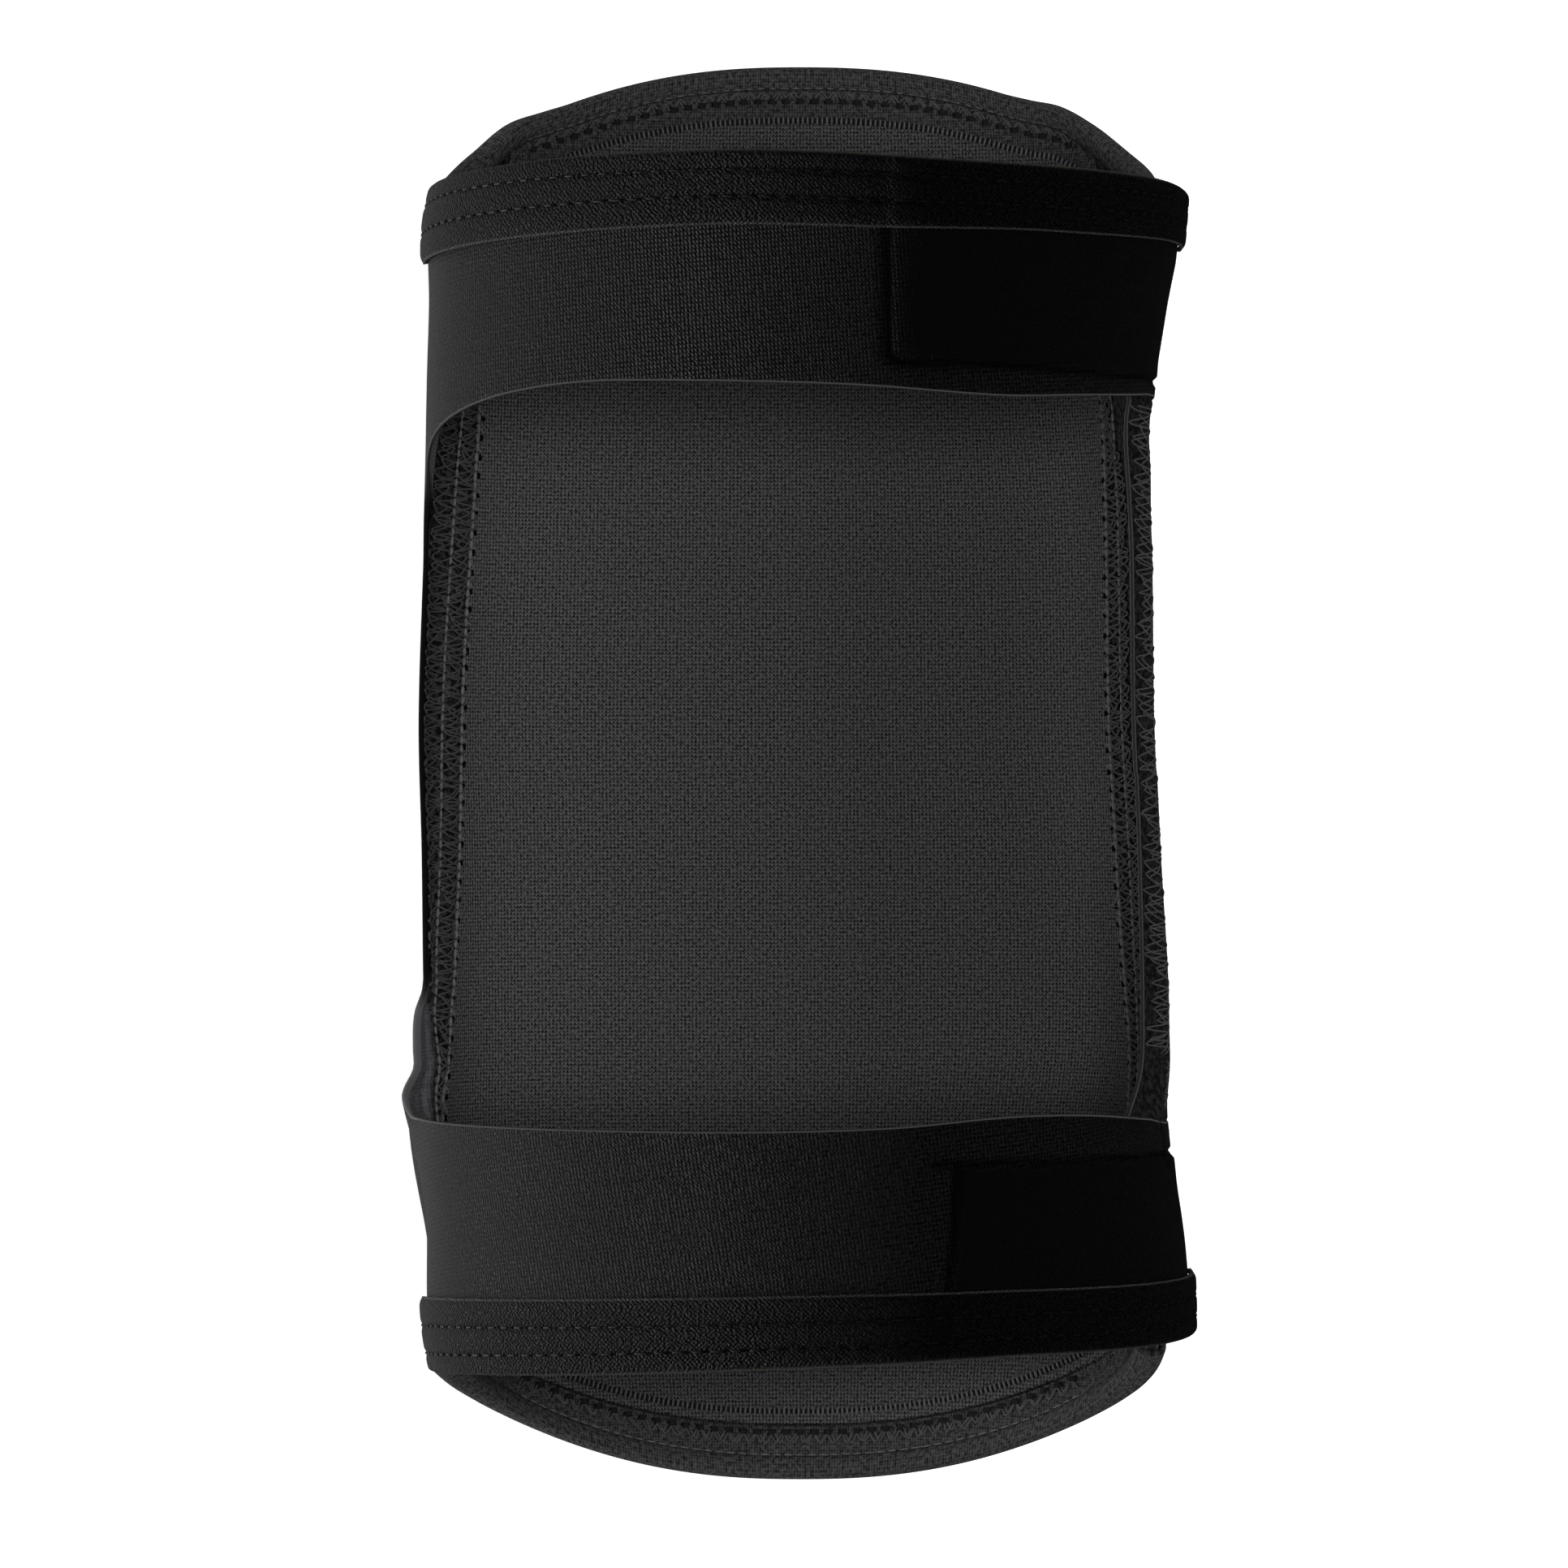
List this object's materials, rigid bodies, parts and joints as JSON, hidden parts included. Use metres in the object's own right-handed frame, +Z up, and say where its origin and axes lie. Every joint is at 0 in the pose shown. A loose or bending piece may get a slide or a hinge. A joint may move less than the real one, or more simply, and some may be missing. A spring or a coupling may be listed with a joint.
{
  "type": "knee pad",
  "caption": "Soft padded knee pad for kneeling work: a cushioned front panel with a knitted lining, side wings, and straps that close round the back of the knee",
  "frame": {"origin": "middle of the pad in plan, on the surface that the padded front lies on", "axes": "+Z up to the back of the knee, +Y along the leg towards the thigh, +X to the right when the straps face the viewer"},
  "size_m": [0.1364, 0.2496, 0.1204],
  "materials": {
    "pad_cover": "matt knitted cover over foam",
    "knit_lining": "fine grey knit",
    "neoprene": "matt fabric-faced neoprene",
    "woven_tape": "woven elastic tape",
    "hook_tape": "nylon hook tape"
  },
  "bodies": {
    "root": {"front_pad": "pad_cover", "pad_lining": "knit_lining", "left_wing_straps": "neoprene", "right_wing": "neoprene", "upper_end_binding": "woven_tape", "lower_end_binding": "woven_tape", "upper_strap_binding": "woven_tape", "lower_strap_binding": "woven_tape", "upper_hook_tape": "hook_tape", "lower_hook_tape": "hook_tape"}
  },
  "joints": []
}
